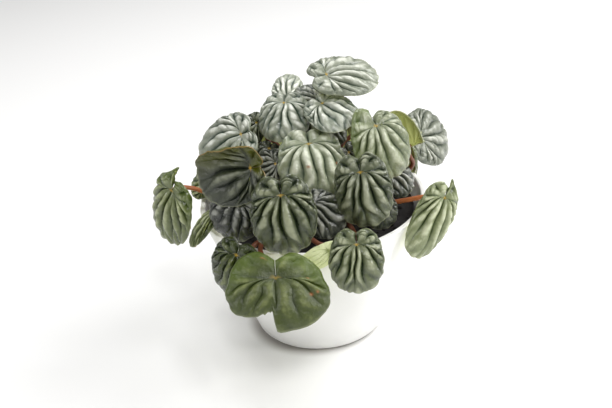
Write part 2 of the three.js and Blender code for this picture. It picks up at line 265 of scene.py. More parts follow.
# in every finish, mottle: scales of patch and grain; bump: strength, depth in m
leafFinish = {
    # the first four each: groove, flank, crest; the groove colours are partly painted shade in the creases
    # and the crest colours partly painted highlight, most of all on the dark and darkGreen leaves
    "dark": ((0.002, 0.003, 0.003), (0.008, 0.01, 0.007), (0.18, 0.185, 0.16)),
    "silver": ((0.04, 0.072, 0.046), (0.38, 0.41, 0.33), (0.92, 0.94, 0.86)),
    "darkGreen": ((0.007, 0.015, 0.0), (0.029, 0.045, 0.0), (0.2, 0.23, 0.07)),
    "paleGreen": ((0.045, 0.08, 0.018), (0.27, 0.325, 0.085), (0.74, 0.8, 0.44)),
    # the curled half of leaf 11: painted shade with painted light shining through it, a dark brownish
    # green
    "olive": (0.06, 0.068, 0.0),
    # painted light: a brighter yellow-green where light shines through the blade
    "fresh": (0.1, 0.16, 0.003),
    "joint": (0.5, 0.32, 0.03),
    "margin": (0.34, 0.36, 0.22),
    "blemish": (0.4, 0.15, 0.05),
    # heights of the relief over which flank and crest come in, made uneven by the patches
    "flankFrom": (0.05, 0.7),
    "crestFrom": (0.65, 1.08),
    "unevenness": 0.36,
    # shares of the way out over which the pale margin comes in, and its strength
    "marginFrom": (0.97, 1.0),
    "marginStrength": 0.4,
    "rough": 0.16,
    "grainRough": 0.14,
    "satinRough": 0.25,
    "specular": 0.65,
    "mottle": (330, 1300),
    "quilt": (520, 1500),
    "quiltGrain": 0.12,
    "bump": (0.4, 0.0012),
}


def makeLeafMaterial():
    look = leafFinish
    material, tree, shader = newMaterial("leafUpper")
    uv = tree.nodes.new("ShaderNodeUVMap")
    uv.uv_map = "UVMap"
    split = tree.nodes.new("ShaderNodeSeparateXYZ")
    link(tree, uv.outputs["UV"], split.inputs[0])
    share = split.outputs["Y"]
    patch, grain = addMottle(tree, *look["mottle"])
    uneven = mathNode(tree, "MULTIPLY_ADD", patch, look["unevenness"], -look["unevenness"] / 2)
    level = mathNode(tree, "ADD", attribute(tree, "relief"), uneven)
    flankMask = rampBetween(tree, level, *look["flankFrom"])
    crestMask = rampBetween(tree, level, *look["crestFrom"])

    # groove colours partly painted shade, crest colours partly painted highlight
    def threeTones(groove, flank, crest):
        low = mixColour(tree, flankMask, groove, flank)
        return mixColour(tree, crestMask, low, crest)

    tone = attribute(tree, "tone")
    olive = attribute(tree, "olive")
    grey = mixColour(tree, tone, threeTones(*look["dark"]), threeTones(*look["silver"]))
    leafy = mixColour(tree, tone, threeTones(*look["darkGreen"]), threeTones(*look["paleGreen"]))
    colour = mixColour(tree, attribute(tree, "green"), grey, leafy)
    # painted light shining through the blade, as a brighter green
    colour = mixColour(tree, attribute(tree, "fresh"), colour, look["fresh"])
    # the curled half is painted dark: painted shade, with painted light shining through
    colour = mixColour(tree, olive, colour, look["olive"])
    # no pale margin on the curled half, which is painted shade
    edge = rampBetween(tree, share, *look["marginFrom"])
    pale = mathNode(tree, "MULTIPLY_ADD", olive, -look["marginStrength"], look["marginStrength"])
    colour = mixColour(tree, mathNode(tree, "MULTIPLY", edge, pale), colour, look["margin"])
    colour = mixColour(tree, attribute(tree, "joint"), colour, look["joint"])
    colour = mixColour(tree, attribute(tree, "blemish"), colour, look["blemish"])
    link(tree, colour, shader.inputs["Base Color"])
    rough = mathNode(tree, "MULTIPLY_ADD", grain, look["grainRough"], look["rough"])
    rough = mathNode(tree, "MULTIPLY_ADD", attribute(tree, "satin"), look["satinRough"], rough)
    link(tree, rough, shader.inputs["Roughness"])
    shader.inputs["Specular IOR Level"].default_value = look["specular"]
    quilt, fine = addMottle(tree, *look["quilt"])
    height = mathNode(tree, "MULTIPLY_ADD", fine, look["quiltGrain"], quilt)
    bumpFrom(tree, shader, height, *look["bump"])
    return material


undersideFinish = {
    # the body colours are partly painted light: a bright yellow-green for light shining through from
    # behind
    "body": ((0.5, 0.55, 0.16), (0.62, 0.68, 0.26)),
    "veins": (0.6, 0.64, 0.3),
    "veinStrength": 0.5,
    "veinUpTo": (0.02, 0.3),  # heights of the relief over which a vein fades out
    "rough": 0.5,
    "mottle": (90, 1500),
    "bump": (0.2, 0.0003),
}


def makeUndersideMaterial():
    look = undersideFinish
    material, tree, shader = newMaterial("leafUnder")
    patch, grain = addMottle(tree, *look["mottle"])
    clear = rampBetween(tree, attribute(tree, "relief"), *look["veinUpTo"])
    veins = mathNode(tree, "SUBTRACT", 1, clear)
    body = mixColour(tree, patch, *look["body"])
    colour = mixColour(tree, mathNode(tree, "MULTIPLY", veins, look["veinStrength"]), body, look["veins"])
    # the curled half's painted shade with light shining through, on this side too
    colour = mixColour(tree, attribute(tree, "olive"), colour, leafFinish["olive"])
    link(tree, colour, shader.inputs["Base Color"])
    shader.inputs["Roughness"].default_value = look["rough"]
    bumpFrom(tree, shader, grain, *look["bump"])
    return material


marginFinish = {
    "green": (0.34, 0.36, 0.18),
    "brown": (0.36, 0.19, 0.08),
    # on the curled half the edge is its own brown, made darker as painted shade
    "curled": (0.2, 0.13, 0.03),
    "brownFrom": (0.45, 0.65),
    "rough": 0.45,
    "mottle": (60, 900),
}


def makeMarginMaterial():
    look = marginFinish
    material, tree, shader = newMaterial("leafMargin")
    patch = addMottle(tree, *look["mottle"])[0]
    colour = mixColour(tree, rampBetween(tree, patch, *look["brownFrom"]), look["green"], look["brown"])
    # darker edge on the curled half: painted shade
    colour = mixColour(tree, attribute(tree, "olive"), colour, look["curled"])
    link(tree, colour, shader.inputs["Base Color"])
    shader.inputs["Roughness"].default_value = look["rough"]
    return material


stalkFinish = {
    # dark near the crown: painted shade deep under the leaves, over the stalks' own red
    "root": (0.035, 0.012, 0.006),
    "ruddy": (0.62, 0.2, 0.07),
    "ruddyFrom": (0.3, 0.8),  # shares of the way out from the crown
    "patches": (0.16, 0.03, 0.02),
    "patchStrength": 0.35,
    "rough": 0.38,
    "mottle": (140, 1200),
    "bump": (0.2, 0.0002),
}


def makeStalkMaterial():
    look = stalkFinish
    material, tree, shader = newMaterial("stalkRed")
    patch, grain = addMottle(tree, *look["mottle"])
    # the stalk stays dark near the crown and on the stalks deep inside: painted shade
    outer = rampBetween(tree, attribute(tree, "reach"), *look["ruddyFrom"])
    ruddy = mathNode(tree, "MULTIPLY", outer, attribute(tree, "ruddy"))
    colour = mixColour(tree, ruddy, look["root"], look["ruddy"])
    blotch = mathNode(tree, "MULTIPLY", patch, look["patchStrength"])
    colour = mixColour(tree, blotch, colour, look["patches"])
    link(tree, colour, shader.inputs["Base Color"])
    shader.inputs["Roughness"].default_value = look["rough"]
    bumpFrom(tree, shader, grain, *look["bump"])
    return material


soilFinish = {
    "colours": ((0.003, 0.002, 0.002), (0.011, 0.009, 0.009)),
    "lighterFrom": (0.35, 0.7),
    "rough": 0.9,
    "mottle": (250, 1800),
    "bump": (0.7, 0.0008),
}


def makeSoilMaterial():
    look = soilFinish
    material, tree, shader = newMaterial("soilMix")
    grain = addMottle(tree, *look["mottle"])[1]
    colour = mixColour(tree, rampBetween(tree, grain, *look["lighterFrom"]), *look["colours"])
    link(tree, colour, shader.inputs["Base Color"])
    shader.inputs["Roughness"].default_value = look["rough"]
    bumpFrom(tree, shader, grain, *look["bump"])
    return material


potFinish = {
    "colours": ((0.86, 0.86, 0.84), (0.9, 0.9, 0.885)),
    "rough": 0.28,
    "grainRough": 0.1,
    "mottle": (22, 500),
    "bump": (0.15, 0.0006),
}


def makePotMaterial():
    look = potFinish
    material, tree, shader = newMaterial("potGlaze")
    patch, grain = addMottle(tree, *look["mottle"])
    link(tree, mixColour(tree, patch, *look["colours"]), shader.inputs["Base Color"])
    rough = mathNode(tree, "MULTIPLY_ADD", grain, look["grainRough"], look["rough"])
    link(tree, rough, shader.inputs["Roughness"])
    bumpFrom(tree, shader, patch, *look["bump"])
    return material


floorFinish = {
    "plain": (0.885, 0.885, 0.885),
    # painted contact shadow: darker right beside the pot's foot, where hardly any light gets in
    "close": (0.4, 0.38, 0.36),
    "closeUpTo": (0.0365, 0.046),  # m from the ring's middle
    "contactShadowShift": (0.004, 0.001, 0),
    "rough": 0.6,
    "size": 8,
}


def makeFloorMaterial():
    look = floorFinish
    material, tree, shader = newMaterial("paleFloor")
    place = tree.nodes.new("ShaderNodeTexCoord")
    shifted = tree.nodes.new("ShaderNodeVectorMath")
    shifted.inputs[1].default_value = look["contactShadowShift"]
    link(tree, place.outputs["Object"], shifted.inputs[0])
    away = tree.nodes.new("ShaderNodeVectorMath")
    away.operation = "LENGTH"
    link(tree, shifted.outputs[0], away.inputs[0])
    # the painted contact shadow fades out away from the foot
    clear = rampBetween(tree, away.outputs["Value"], *look["closeUpTo"])
    link(tree, mixColour(tree, clear, look["close"], look["plain"]), shader.inputs["Base Color"])
    shader.inputs["Roughness"].default_value = look["rough"]
    return material


mottle = makeMottleGroup()
finishes = {
    "upper": makeLeafMaterial(),
    "under": makeUndersideMaterial(),
    "margin": makeMarginMaterial(),
    "stalk": makeStalkMaterial(),
    "soil": makeSoilMaterial(),
    "pot": makePotMaterial(),
    "floor": makeFloorMaterial(),
}
print("materials made:", len(finishes))

addCamera()
addLights()
bpy.ops.mesh.primitive_plane_add(size=floorFinish["size"])
floor = takeNew("floor")
floor.data.materials.append(finishes["floor"])
bpy.context.scene.view_settings.view_transform = "Standard"
print("stage set")


pot = {
    # radius, height in mm, from the middle of the foot round to the inside
    "profile": [
        (0, 1.0), (33, 1.0), (34.5, 0), (38, 0), (39.6, 0.9), (41.5, 3),
        (69, 85.6), (68.8, 86.5), (68.2, 87), (66.3, 87), (65.7, 86.5), (65.5, 85.6),
        (60.6, 70), (38, 5), (0, 5),
    ],
    "turns": 128,
    "weld": 0.00002,  # m
    "smooth": 35,  # degrees
}


def addPot():
    # one profile edge spun round the axis
    bpy.ops.mesh.primitive_plane_add(size=1)
    piece = takeNew("potBody")
    bpy.ops.object.mode_set(mode="EDIT")
    bpy.ops.mesh.delete(type="VERT")
    bpy.ops.object.mode_set(mode="OBJECT")
    points = [(r * mm, 0, z * mm) for r, z in pot["profile"]]
    edges = [(i, i + 1) for i in range(len(points) - 1)]
    piece.data.from_pydata(points, edges, [])
    bpy.ops.object.mode_set(mode="EDIT")
    bpy.ops.mesh.select_all(action="SELECT")
    bpy.ops.mesh.spin(steps=pot["turns"], angle=2 * math.pi, center=(0, 0, 0), axis=(0, 0, 1))
    weld(pot["weld"])
    bpy.ops.mesh.normals_make_consistent(inside=False)
    bpy.ops.object.mode_set(mode="OBJECT")
    piece.data.materials.append(finishes["pot"])
    smoothShading(piece, pot["smooth"])
    return piece


deselectAll()
potBody = addPot()
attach(potBody, "root")
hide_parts("pot")
print("pot done")


soil = {
    "radius": 61.9,
    "level": 78.0,
    "mound": 2.2,
    "lumps": (0.9, 0.5, 0.28),  # large, middle and small, in mm
    "columns": 120,
    "rings": 56,
    # the outermost rings turn down inside the pot, to the base and inwards
    "overrun": 1.05,
    "base": 70.0,
    "tuck": 3.0,
    # how many, their radius in mm, and width, height and lift as shares of it
    "crumbs": 520,
    "crumbSize": (0.5, 1.7),
    "crumbWidth": (0.5, 1),
    "crumbHeight": (0.4, 0.9),
    "crumbLift": 0.25,
    "crumbGap": 1.5,  # mm, to the pot
    "seed": 7,
    "weld": 0.00005,  # m
    "smooth": 60,  # degrees
}


def soilHeight(x, y):
    r = np.hypot(x, y)
    large, middle, small = soil["lumps"]
    height = soil["level"] + soil["mound"] * (1 - (r / soil["radius"]) ** 2)
    height += large * np.sin(0.31 * x + 1.3) * np.cos(0.27 * y - 0.6)
    height += middle * np.sin(0.83 * x - 0.5 * y) * np.cos(0.71 * y + 0.4 * x)
    height += small * np.sin(2.1 * x + 0.7 * y) * np.sin(1.9 * y - 1.1 * x)
    return height


def addSoil():
    # a flat grid rolled up into a disc
    bpy.ops.mesh.primitive_grid_add(x_subdivisions=soil["columns"], y_subdivisions=soil["rings"], size=2)
    bed = takeNew("soilBed")
    points = getPoints(bed.data)
    turn = points[:, 0] * math.pi
    share = (points[:, 1] + 1) / 2 * soil["overrun"]
    past = np.clip((share - 1) / (soil["overrun"] - 1), 0, 1)
    radius = soil["radius"] * np.clip(share, 0, 1)
    z = soilHeight(radius * np.cos(turn), radius * np.sin(turn))
    z = soil["base"] + (z - soil["base"]) * (1 - past)
    radius = radius - soil["tuck"] * past
    setPoints(bed.data, np.stack([radius * np.cos(turn), radius * np.sin(turn), z], 1))
    bpy.ops.object.mode_set(mode="EDIT")
    weld(soil["weld"])
    bpy.ops.mesh.normals_make_consistent(inside=False)
    bpy.ops.object.mode_set(mode="OBJECT")
    return bed


def addCrumbs():
    # one crumb, copied with its own mesh and turned at random
    draw = random.Random(soil["seed"])
    bpy.ops.mesh.primitive_ico_sphere_add(subdivisions=1, radius=1)
    master = takeNew("crumb")
    crumbs = [master]
    for i in range(soil["crumbs"]):
        crumb = master.copy()
        crumb.data = master.data.copy()
        bpy.context.collection.objects.link(crumb)
        turn = draw.uniform(0, 2 * math.pi)
        radius = (soil["radius"] - soil["crumbGap"]) * math.sqrt(draw.random())
        x, y = radius * math.cos(turn), radius * math.sin(turn)
        size = draw.uniform(*soil["crumbSize"])
        z = float(soilHeight(x, y)) + size * soil["crumbLift"]
        angle = draw.uniform(0, 6)
        axis = Vector((draw.random(), draw.random(), 1)).normalized()
        width = size * draw.uniform(*soil["crumbWidth"])
        height = size * draw.uniform(*soil["crumbHeight"])
        crumb.matrix_world = (
            Matrix.Translation(Vector((x, y, z)) * mm)
            @ Matrix.Rotation(angle, 4, axis)
            @ Matrix.Diagonal((size * mm, width * mm, height * mm, 1)))
        placeInMesh(crumb)
        crumbs.append(crumb)
    # the first one stays inside the mix
    master.matrix_world = Matrix.Translation(Vector((0, 0, soil["level"] - 1)) * mm) @ Matrix.Scale(mm, 4)
    placeInMesh(master)
    return crumbs


deselectAll()
soilBed = joinPieces([addSoil(), *addCrumbs()], "soilBed")
soilBed.data.materials.clear()
soilBed.data.materials.append(finishes["soil"])
smoothShading(soilBed, soil["smooth"])
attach(soilBed, "root")
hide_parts("soil")
print("soil done")


blade = {
    "thickness": 0.6,  # mm
    "columns": 144,
    "rings": 42,
    "hiddenColumns": 96,
    "hiddenRings": 20,
    "firstHidden": 28,  # the leaves from this one on are coarser
    # shifts that crowd the columns towards the grooves and the rings towards middle and edge
    "columnCrowd": 0.09,
    "ringCrowd": 0.06,
    "firstShare": 1e-4,  # of the innermost ring
    "weld": 0.00004,  # m
    "smooth": 55,  # degrees
    # half of the outline, from the tip (station 0) round to the notch at the stalk (station 9)
    "halfWidth": [0, 0.49, 0.85, 1, 0.98, 0.9, 0.79, 0.58, 0.28, 0.006],
    "along": [0.76, 0.72, 0.565, 0.363, 0.175, 0.028, -0.11, -0.205, -0.25, -0.18],
    "lastStation": 9,
    # the share of a leaf's length that lies behind its stalk
    "usualBack": 0.24,
    # stations between which a lobe is drawn out into an ear
    "ear": (4.8, 8.6),
    # a torn edge's teeth: depth, pace, middle and half width in stations
    "teeth": (0.02, 23, -0.2, 0.4),
    "trimWidth": 1.3,
    # stations where the grooves of one half meet the edge, midrib first and notch last
    "veins": [0, 0.9, 2, 3.4, 5.1, 7, 9],
    "jitter": 0.2,
    # how far the grooves curve on their way out, and how far from the stalk they do so in full
    "veinCurve": 0.45,
    "curveFrom": 0.4,
    # waves that bend the grooves: size, paces outwards and sideways, shares over which they start
    "waves": ((0.16, 5, 1.1, 0.1, 0.5), (0.07, 12, -1.9, 0.2, 0.6), (0.12, 0, 0.8, -1, 0)),
    "waveEnd": 1.2,
    # the edge bulges at each ridge: amount, height of the relief with none, shares
    "bulge": (0.01, 0.6, (0.7, 1)),
    # height of the ridges in mm on a leaf of rippleLeaf mm, and what is left of it at the edge
    "ripple": 4.2,
    "rippleLeaf": 42,
    "rippleLeft": 0.5,
    # shares over which the ridges rise, and how much later those squeezed together beside the
    # stalk do: their middle and width, in grooves
    "rise": (-0.05, 0.45),
    "riseLater": (0.2, 0.35),
    "squeezed": (4, 1.2),
    "funnelDepth": 0.05,
    "funnelSpread": 0.08,
    "droop": 1.6,
    "droopFrom": (0.8, 1.05),
    "droopCurve": 1.5,
}

# the puckered surface; a share is of the way from the stalk out to the edge
ripples = {
    # what the main grooves lose towards the edge
    "edgeFade": (0.55, 0.6, 1),
    # what every other groove lacks towards the stalk
    "lesser": (0.75, 0.15, 0.55),
    # shares at which short grooves leave each main one, midrib first
    "forks": ((0.7,), (0.62,), (0.5, 0.76), (0.44, 0.68), (0.46, 0.7), (0.6,)),
    "forkShift": 0.05,
    "forkReach": (0.6, 0.8),
    "secondFork": 0.22,
    "forkCurve": 0.7,
    "forkDepth": (0.5, 0.8),
    "forkFrom": (-0.03, 0.2),
    "forkWidth": 0.17,
    "forkRound": 1.6,
    # creases along a ridge, their slant and sharpness, and how their depth varies
    "ridges": 16,
    "creases": (3.5, 5.5),
    "creaseSlant": 0.8,
    "creaseSharp": 0.8,
    "creaseDepth": (0.55, 0.45, 5.3, 2),
    "dimples": ((0.5, 0.15, 0.4), (0.25, 0.6, 0.9)),
    "ridgeHeight": (0.8, 1.1),
}

# at: where the stalk joins; face: turn, rise and roll of the upper side; size: length and width;
# bend: towards tip, left and right; look: tone, green, crinkle. mm and degrees. Tone is set leaf by
# leaf and is partly painted shade: the leaves deep inside and under others get a low tone.
# Where a leaf differs: back: share of its length behind the stalk; ear: side, stretch and
# narrowing of a lobe; slant: side and amount; tear: station, depth and reach to either side;
# trim: station and depth; puff: height of the ridges; tops: lightness of their crests, partly
# painted highlight; satin: duller finish; joint: strength of the yellow spot; fresh: painted light
# shining through, on the lobes, or on the left side if negative; olive: painted shade with painted
# light shining through, on the curled half; droop: of the edge; marks: station, share and size in mm
leaves = {
    1: {"at": (14, 18, 160), "face": (0, 70, 103), "size": (44, 40), "bend": (30, 25, 30),
         "look": (0.68, 0.1, 0.7), "puff": 0.85},
    2: {"at": (-11, 38, 139), "face": (-10, 58, -175), "size": (27, 23), "bend": (20, 35, 35),
         "look": (1.0, 0, 0.8), "tops": 1.12},
    3: {"at": (9, 19, 143), "face": (0, 60, -110), "size": (26, 30), "bend": (20, 35, 35),
         "look": (0.45, 0, 1.0), "tops": 1.15},
    4: {"at": (-13, 12, 146), "face": (-20, 58, 5), "size": (34, 37), "bend": (42, 40, 40),
         "look": (0.9, 0, 0.9)},
    5: {"at": (10, 7, 146), "face": (0, 72, 44), "size": (32, 34), "bend": (22, 15, 30),
         "look": (0.85, 0, 1.0)},
    6: {"at": (0, -12, 129), "face": (0, 53, 5), "size": (46, 46), "bend": (45, 40, 40),
         "look": (0.85, 0.25, 0.5), "puff": 0.85, "marks": ((-0.3, 0.56, 0.45), (1.9, 0.66, 0.4))},
    7: {"at": (40, -13, 137), "face": (8, 42, 15), "size": (43, 40), "bend": (50, 40, 45),
         "back": 0.19, "ear": (-1, 0.9, 0), "look": (0.64, 0.4, 0.6), "puff": 0.8, "fresh": -0.4},
    8: {"at": (62, 12, 111), "face": (165, 5, 157), "size": (28, 24), "bend": (10, 30, 30),
         "back": 0.04, "look": (0.68, 0.6, 0.5), "puff": 0.4},
    9: {"at": (73, 30, 107), "face": (45, 32, 78), "size": (43, 42), "bend": (30, 30, 30),
         "look": (0.42, 0.1, 0.8), "puff": 0.8},
    10: {"at": (-40, -2, 134), "face": (-25, 50, -55), "size": (42, 43), "bend": (35, 30, 30),
         "back": 0.2, "look": (0.7, 0, 0.9)},
    11: {"at": (-34, -46, 132), "face": (-15, 25, -78), "size": (43, 40), "bend": (30, -95, 20),
         "back": 0.18, "ear": (-1, 0, 0.6), "look": (0.04, 0.3, 0.4), "olive": 1, "satin": 0.7,
         "droop": -0.2, "trim": (-1.9, 0.1)},
    12: {"at": (-18, -62, 122), "face": (-5, 30, 4), "size": (47, 41), "bend": (40, 35, 35),
         "look": (0.14, 0.5, 0.6)},
    13: {"at": (27, -42, 122), "face": (-8, 30, 8), "size": (45, 38), "bend": (40, 40, 40),
         "look": (0.24, 0.4, 0.7)},
    14: {"at": (21, -78, 97), "face": (0, 35, -3), "size": (38, 34), "bend": (40, 35, 35),
         "look": (0.33, 0.55, 0.6)},
    15: {"at": (-24, -87, 86), "face": (-5, 45, 2), "size": (44, 61), "bend": (28, 30, 30),
         "back": 0.31, "slant": (-1, 0.13), "tear": (-0.3, 0.37, 0.25, 1.5), "look": (0.08, 1.0, 0.2),
         "puff": 0.62, "tops": 0.85, "satin": 0.8, "joint": 0.5, "fresh": 0.5,
         "marks": ((-8, 0.53, 0.8), (4.7, 0.42, 0.6), (2.6, 0.62, 0.6), (2, 0.58, 0.6))},
    16: {"at": (-86, -8, 102), "face": (-38, 8, -24), "size": (56, 41), "bend": (30, 62, 15),
         "back": 0.18, "ear": (-1, 0.75, 0.95), "look": (0.34, 0.8, 0.6), "fresh": 0.3, "puff": 0.88},
    17: {"at": (75, -46, 103), "face": (20, 15, -31), "size": (49, 31), "bend": (30, 55, 60),
         "back": 0.17, "ear": (1, 0.4, 0.95), "look": (0.67, 0.62, 0.6), "puff": 0.8},
    18: {"at": (-46, -66, 89), "face": (-30, 25, -10), "size": (36, 37), "bend": (35, 30, 30),
         "look": (0.03, 0.85, 0.4), "tops": 0.85},
    19: {"at": (-43, -46, 112), "face": (-20, 30, -20), "size": (33, 36), "bend": (35, 30, 30),
         "look": (0.08, 0, 1.3), "tops": 1.15},
    20: {"at": (-21, -8, 115), "face": (-20, 35, -70), "size": (25, 24), "bend": (40, 35, 35),
         "look": (0.2, 0, 0.9), "tops": 1.2},
    21: {"at": (0, -40, 103), "face": (10, 45, 45), "size": (32, 30), "bend": (40, 35, 35),
         "look": (0.15, 0, 0.7), "tops": 1.2},
    22: {"at": (47, -8, 104), "face": (20, 45, 50), "size": (27, 26), "bend": (40, 35, 35),
         "look": (0.2, 0, 0.7)},
    23: {"at": (37, -38, 101), "face": (8, 38, 10), "size": (24, 24), "bend": (40, 35, 35),
         "look": (0.2, 0.1, 0.7)},
    24: {"at": (-66, 8, 97), "face": (-35, 40, -80), "size": (20, 20), "bend": (40, 30, 30),
         "look": (0.6, 0.6, 0.5)},
    25: {"at": (-31, 18, 131), "face": (-30, 40, -40), "size": (24, 22), "bend": (40, 35, 35),
         "look": (0.2, 0.3, 0.7)},
    26: {"at": (-58, -31, 99), "face": (-60, 65, 4), "size": (33, 15), "bend": (30, 35, 35),
         "look": (0.18, 0.8, 0.5)},
    27: {"at": (24, 2, 114), "face": (10, 45, 30), "size": (26, 25), "bend": (40, 35, 35),
         "look": (0.2, 0, 0.7)},
    28: {"at": (-32, 46, 120), "face": (-150, 45, 0), "size": (36, 34), "bend": (40, 35, 35),
         "look": (0.6, 0.1, 0.7)},
    29: {"at": (4, 56, 130), "face": (180, 48, 10), "size": (40, 38), "bend": (40, 35, 35),
         "look": (0.8, 0.1, 0.7)},
    30: {"at": (38, 42, 116), "face": (150, 45, -10), "size": (36, 35), "bend": (40, 35, 35),
         "look": (0.6, 0.2, 0.8)},
    31: {"at": (62, 46, 94), "face": (125, 25, 0), "size": (34, 32), "bend": (40, 35, 35),
         "look": (0.5, 0.4, 0.6)},
    32: {"at": (-58, 34, 112), "face": (-120, 40, 0), "size": (34, 34), "bend": (40, 35, 35),
         "look": (0.6, 0.2, 0.7)},
    33: {"at": (-46, 66, 96), "face": (-150, 20, 5), "size": (36, 34), "bend": (40, 35, 35),
         "look": (0.5, 0.5, 0.6)},
    34: {"at": (-19, 80, 102), "face": (-170, 22, -5), "size": (40, 37), "bend": (40, 35, 35),
         "look": (0.6, 0.3, 0.6)},
    35: {"at": (20, 79, 99), "face": (170, 22, 5), "size": (40, 36), "bend": (40, 35, 35),
         "look": (0.55, 0.4, 0.6)},
    36: {"at": (53, 68, 84), "face": (140, 15, 0), "size": (33, 31), "bend": (40, 35, 35),
         "look": (0.5, 0.6, 0.5)},
    37: {"at": (64, 16, 105), "face": (120, 10, 0), "size": (20, 16), "bend": (20, 40, 40),
         "look": (0.5, 0.5, 0.5)},
    38: {"at": (-68, 44, 80), "face": (-118, 12, -5), "size": (32, 30), "bend": (40, 35, 35),
         "look": (0.5, 0.6, 0.5)},
    39: {"at": (0, 36, 108), "face": (175, 50, 0), "size": (26, 25), "bend": (40, 35, 35),
         "look": (0.3, 0.1, 0.7)},
    40: {"at": (-34, 32, 108), "face": (-120, 45, 10), "size": (26, 24), "bend": (40, 35, 35),
         "look": (0.3, 0.1, 0.7)},
    41: {"at": (32, 26, 104), "face": (120, 50, -10), "size": (24, 23), "bend": (40, 35, 35),
         "look": (0.3, 0.1, 0.7)},
    42: {"at": (-49, 13, 113), "face": (-60, 55, 0), "size": (24, 24), "bend": (40, 35, 35),
         "look": (0.3, 0.1, 0.7)},
    43: {"at": (-24, 6, 119), "face": (-15, 50, -20), "size": (20, 20), "bend": (40, 35, 35),
         "look": (0.2, 0.1, 0.7)},
    44: {"at": (2, 17, 129), "face": (0, 55, 0), "size": (17, 17), "bend": (40, 35, 35),
         "look": (0.2, 0.1, 0.7)},
    45: {"at": (15, 13, 128), "face": (10, 50, 10), "size": (19, 19), "bend": (40, 35, 35),
         "look": (0.2, 0.1, 0.7)},
    46: {"at": (6, -74, 91), "face": (2, 10, -62), "size": (27, 15), "bend": (20, 60, 25),
         "look": (1.0, 0.95, 0.3), "puff": 0.3, "tops": 1.25, "satin": 1, "joint": 0},
}


def outlineAt(values, station, mirrored):
    # a smooth curve through the values; mirrored is -1 where it changes side at the tip
    last = blade["lastStation"]
    padded = np.array([mirrored * values[1], *values, 2 * values[last] - values[last - 1]])
    step = np.minimum(np.floor(station), last - 1).astype(int)
    f = station - step
    a, b, c, d = (padded[step + k] for k in range(4))
    return b + 0.5 * f * (c - a + f * (2 * a - 5 * b + 4 * c - d + f * (3 * (b - c) + d - a)))


def bent(leaf, x, y):
    # the plain bent blade, before its ridges
    length, width = leaf["size"]
    tip, left, right = (math.radians(v) for v in leaf["bend"])
    back = leaf.get("back", blade["usualBack"])
    side = np.where(x < 0, left, right)
    turn = x / (width / 2) * side
    sideRadius = width / 2 / side
    down = -sideRadius * (1 - np.cos(turn))
    tipRadius = (1 - back) * length / tip
    lean = y / tipRadius
    reach = tipRadius + down
    ahead, up = reach * np.sin(lean), reach * np.cos(lean) - tipRadius
    point = np.stack([sideRadius * np.sin(turn), ahead, up], 1)
    normal = np.stack([np.sin(turn), np.cos(turn) * np.sin(lean), np.cos(turn) * np.cos(lean)], 1)
    return point, normal


def leafFrame(leaf):
    turn, rise, roll = (math.radians(v) for v in leaf["face"])
    up = Vector((math.sin(turn) * math.cos(rise), -math.cos(turn) * math.cos(rise), math.sin(rise)))
    fall = Vector((math.sin(turn) * math.sin(rise), -math.cos(turn) * math.sin(rise), -math.cos(rise)))
    level = up.cross(fall)
    tip = fall * math.cos(roll) + level * math.sin(roll)
    side = up.cross(tip)
    return np.array([side, tip, up])


def veinsOf(number, side):
    # each half of a leaf has its own small shifts of the groove places
    draw = random.Random(10 * number + side)
    shift = [draw.uniform(-1, 1) * blade["jitter"] for _ in blade["veins"]]
    shift[0] = shift[-1] = 0
    return np.array(blade["veins"]) + shift


def reliefAt(phase, share, leaf, number):
    # height of the puckered surface, about 0 in a groove and 1 on a ridge; a main groove
    # lies at every whole phase
    r = ripples
    crinkle = leaf["look"][2]
    draw = random.Random(100 + number)
    across = 2 * np.abs(phase - np.round(phase))
    inside = phase - np.floor(phase)
    amount, begin, end = r["edgeFade"]
    fade = 1 - amount * smoothStep(begin, end, share)
    amount, begin, end = r["lesser"]
    lesser = np.round(phase).astype(int) % 2
    fade = fade * (1 - amount * lesser * (1 - smoothStep(begin, end, share)))
    pillow = 1 - (1 - across) ** 2 * fade
    for vein, starts in enumerate(r["forks"]):
        for side in (-1, 1):
            for k, start in enumerate(starts):
                start += draw.uniform(-r["forkShift"], r["forkShift"])
                reach = draw.uniform(*r["forkReach"]) - r["secondFork"] * k
                run = np.clip((share - start) / (1 - start), 0, 1)
                path = side * (vein + reach * run ** r["forkCurve"])
                begin, end = r["forkFrom"]
                depth = smoothStep(start + begin, start + end, share) * draw.uniform(*r["forkDepth"])
                off = np.abs((phase - path) / r["forkWidth"])
                pillow = pillow * (1 - depth * np.exp(-off ** r["forkRound"]))
    ridge = np.floor(phase).astype(int) % r["ridges"]

    def drawnPerRidge(low, high):
        return np.array([draw.uniform(low, high) for _ in range(r["ridges"])])[ridge]

    # slanting creases quilt each ridge
    shift = drawnPerRidge(0, 1)
    pace = drawnPerRidge(*r["creases"])
    slant = np.abs(inside - (phase < 0))
    line = share * pace + shift - r["creaseSlant"] * slant
    crease = 1 - np.abs(np.sin(math.pi * line)) ** r["creaseSharp"]
    middle, swing, linePace, phasePace = r["creaseDepth"]
    crease = crease * (middle + swing * np.sin(linePace * line + phasePace * phase))
    dimple = crinkle * sum(depth * smoothStep(begin, end, share) for depth, begin, end in r["dimples"])
    height = drawnPerRidge(*r["ridgeHeight"])
    return pillow * height * (1 - dimple * crease)


